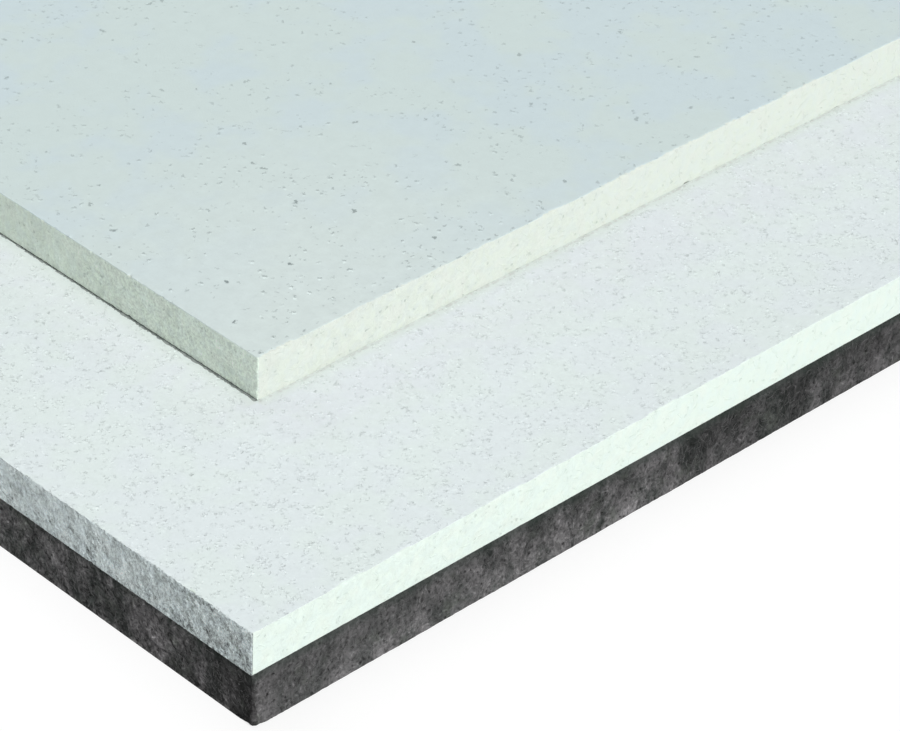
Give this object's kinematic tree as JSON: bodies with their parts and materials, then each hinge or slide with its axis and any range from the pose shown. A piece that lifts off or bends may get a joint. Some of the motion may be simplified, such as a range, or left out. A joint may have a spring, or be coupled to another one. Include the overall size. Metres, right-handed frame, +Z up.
{
  "type": "gypsum fibre floor board",
  "caption": "Flat floor element of gypsum fibre boards bonded with a stepped offset, so that neighbours lap and glue together, on a dark felt backing that damps footfall sound.",
  "frame": {"origin": "centre of the whole footprint, on the underside of the felt", "axes": "+X along the boards, towards the overhanging end; +Y across them, towards the overhanging side; +Z up from the felt to the walking face"},
  "size_m": [1.55, 0.554, 0.032],
  "materials": {
    "needled_felt": "matte",
    "ground_gypsum_fibre": "matte",
    "sealed_gypsum_fibre": "matte"
  },
  "bodies": {
    "root": {"felt_backing": "needled_felt", "lower_board": "ground_gypsum_fibre", "upper_board": "sealed_gypsum_fibre"}
  },
  "joints": []
}
